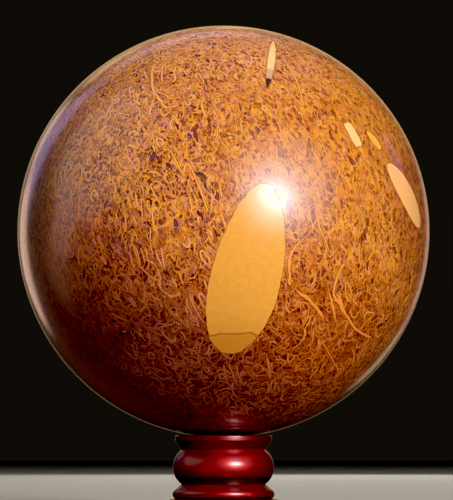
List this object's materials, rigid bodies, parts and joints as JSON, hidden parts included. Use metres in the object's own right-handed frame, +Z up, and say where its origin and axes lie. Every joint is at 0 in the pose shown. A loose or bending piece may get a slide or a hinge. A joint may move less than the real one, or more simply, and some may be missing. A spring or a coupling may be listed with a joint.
{
  "type": "mariam jasper sphere",
  "caption": "Polished ball of mariam jasper, golden threads tangled over maroon with pale clasts, resting in the dished top of a small turned red wooden stand.",
  "frame": {"origin": "middle of the stand's flat underside, on the surface that it stands on", "axes": "+Z up, along the stand's axis and through the ball's centre; -Y towards the side that the picture shows"},
  "size_m": [0.1, 0.1, 0.1185],
  "materials": {
    "mariam_jasper": "high polish, with golden threads over dark maroon and pale tan clasts",
    "red_lacquered_wood": "dark red stain under gloss lacquer"
  },
  "bodies": {
    "root": {"jasper_sphere": "mariam_jasper", "turned_stand": "red_lacquered_wood"}
  },
  "joints": []
}
